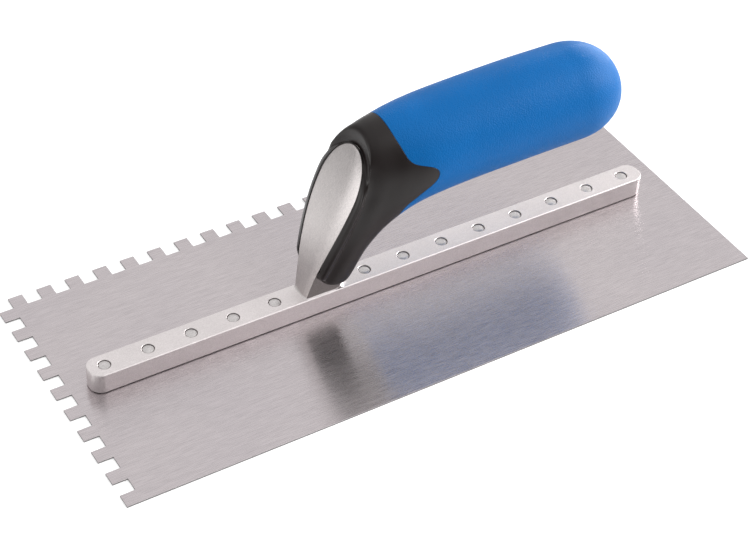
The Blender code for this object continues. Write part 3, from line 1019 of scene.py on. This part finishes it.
def soft_rubber():
    """Black soft-touch rubber with a very fine moulded grain."""
    finish = Finish("soft_black_rubber")
    finish.set(Specular_IOR_Level=0.34)
    grain = finish.noise((2600.0, 2600.0, 2600.0), detail=2.0)
    cloud = finish.noise((70.0, 70.0, 70.0), detail=3.0)
    colour = finish.ramp(cloud, (0.0075, 0.0042, 0.0038), (0.0115, 0.0076, 0.0072))
    finish.link(colour, finish.shader.inputs["Base Color"])
    finish.link(finish.span(cloud, 0.34, 0.41), finish.shader.inputs["Roughness"])
    finish.bump(((grain, 0.16, 0.00012),))
    return finish.material


def blue_plastic():
    """Blue grip: satin, finely stippled, a little uneven in tone."""
    finish = Finish("blue_stippled_grip")
    finish.set(Specular_IOR_Level=0.13)
    grain = finish.noise((1900.0, 1900.0, 1900.0), detail=2.0, roughness=0.55)
    cloud = finish.noise((38.0, 38.0, 38.0), detail=3.0)
    colour = finish.ramp(cloud, (0.0001, 0.120, 0.385), (0.0004, 0.132, 0.42))
    finish.link(colour, finish.shader.inputs["Base Color"])
    finish.link(finish.span(cloud, 0.42, 0.50), finish.shader.inputs["Roughness"])
    finish.bump(((grain, 0.7, 0.0003),))
    return finish.material


def core_plastic():
    """The hidden core's dark glass-filled plastic."""
    finish = Finish("glass_filled_core")
    grain = finish.noise((900.0, 1800.0, 1800.0), detail=3.0)
    colour = finish.ramp(grain, (0.030, 0.030, 0.034), (0.050, 0.050, 0.055))
    finish.link(colour, finish.shader.inputs["Base Color"])
    finish.link(finish.span(grain, 0.45, 0.6), finish.shader.inputs["Roughness"])
    finish.bump(((grain, 0.2, 0.0002),))
    return finish.material


def sheared_steel():
    """The blade's cut edges, duller and darker than its brushed faces."""
    finish = Finish("sheared_steel_edge")
    finish.set(Metallic=1.0)
    grain = finish.noise((2200.0, 2200.0, 5200.0), detail=3.0)
    colour = finish.ramp(grain, (0.13, 0.125, 0.125), (0.24, 0.235, 0.235))
    finish.link(colour, finish.shader.inputs["Base Color"])
    finish.link(finish.span(grain, 0.38, 0.52), finish.shader.inputs["Roughness"])
    finish.bump(((grain, 0.2, 0.0001),))
    return finish.material


def make_floor():
    """A plain pale floor, with a pool of light painted into its colour and glow round the object."""
    bm = bmesh.new()
    bmesh.ops.create_grid(bm, x_segments=1, y_segments=1, size=3.0)
    bmesh.ops.translate(bm, verts=bm.verts, vec=(0, 0, -0.05 * MM))
    finish = Finish("pale_floor")
    finish.set(Roughness=0.9, Specular_IOR_Level=0.1, Emission_Strength=FLOOR_GLOW)
    reach = finish.tree.nodes.new("ShaderNodeVectorMath")
    reach.operation = "LENGTH"
    finish.link(finish.place, reach.inputs[0])
    distance = reach.outputs["Value"]
    # painted pool of light: the colour and the glow fade from pale to dark away from the middle
    pool = finish.ramp(distance, (PAINTED_POOL_TONE,) * 3, (PAINTED_OUTER_TONE,) * 3, POOL_EDGE, POOL_END)
    finish.link(pool, finish.shader.inputs["Base Color"])
    finish.link(pool, finish.shader.inputs["Emission Color"])
    link("floor", bm, finish.material)


def area_light(name, place, aim, size, power):
    """A rectangular soft light turned towards a point."""
    data = bpy.data.lights.new(name, "AREA")
    data.shape = "RECTANGLE"
    data.size, data.size_y = size
    data.energy = power
    lamp = bpy.data.objects.new(name, data)
    lamp.location = place
    lamp.rotation_euler = (Vector(aim) - Vector(place)).to_track_quat("-Z", "Y").to_euler()
    bpy.context.scene.collection.objects.link(lamp)


def make_light():
    """A room that is bright behind and above the object and dim in front, with four soft panels."""
    world = bpy.data.worlds.new("studio")
    world.use_nodes = True
    tree = world.node_tree
    place = tree.nodes.new("ShaderNodeTexCoord")
    facing = tree.nodes.new("ShaderNodeVectorMath")
    facing.operation = "DOT_PRODUCT"
    facing.inputs[1].default_value = ROOM_AXIS
    level = tree.nodes.new("ShaderNodeMapRange")
    level.interpolation_type = "SMOOTHSTEP"
    level.inputs["From Min"].default_value = ROOM_DIM
    level.inputs["From Max"].default_value = ROOM_BRIGHT
    level.inputs["To Min"].default_value = ROOM_FRONT
    level.inputs["To Max"].default_value = ROOM_BACK
    tree.links.new(place.outputs["Generated"], facing.inputs[0])
    tree.links.new(facing.outputs["Value"], level.inputs["Value"])
    background = tree.nodes["Background"]
    background.inputs["Color"].default_value = (1.0, 1.0, 1.0, 1.0)
    tree.links.new(level.outputs["Result"], background.inputs["Strength"])
    bpy.context.scene.world = world
    for panel in PANELS:
        area_light(*panel)


def make_camera():
    """The camera, slightly rolled, looking down across the blade."""
    data = bpy.data.cameras.new("camera")
    data.lens = CAMERA_LENS
    data.sensor_width = 36.0
    data.clip_start = 0.05
    look = Vector((
        math.cos(CAMERA_DOWN) * math.cos(CAMERA_HEADING),
        math.cos(CAMERA_DOWN) * math.sin(CAMERA_HEADING),
        -math.sin(CAMERA_DOWN),
    ))
    camera = bpy.data.objects.new("camera", data)
    level = look.to_track_quat("-Z", "Y").to_matrix()
    camera.matrix_world = Matrix.Translation(Vector(CAMERA_AIM) - look * CAMERA_DISTANCE) @ (
        level @ Matrix.Rotation(CAMERA_ROLL, 3, "Z")
    ).to_4x4()
    bpy.context.scene.collection.objects.link(camera)
    bpy.context.scene.camera = camera


def dress_core():
    """Give the hidden core its own finish; its CAD body stays."""
    node = bpy.data.objects["grip_core"]
    finish = core_plastic()
    for slot in node.material_slots:
        slot.material = finish


make_camera()
make_light()
make_floor()
handle_angles = ring_angles()
make_blade(brushed_steel(), sheared_steel())
linished = cast_metal("linished_aluminium", (0.645, 0.60, 0.598), (0.785, 0.735, 0.733))
# painted shade: a far darker aluminium for the neck's sides, standing for the shade they lie in under the
# collar's toe
neck_shade_metal = cast_metal("neck_sides_painted_shade", (0.22, 0.205, 0.195), (0.32, 0.30, 0.29))
polished = cast_metal("polished_aluminium", (0.55, 0.515, 0.51), (0.70, 0.66, 0.65), 0.86)
make_casting(linished, neck_shade_metal, polished)
make_rivets(rivet_metal())
make_collar(soft_rubber(), handle_angles)
make_grip(blue_plastic(), handle_angles)
dress_core()
bpy.context.scene.view_settings.view_transform = "Standard"
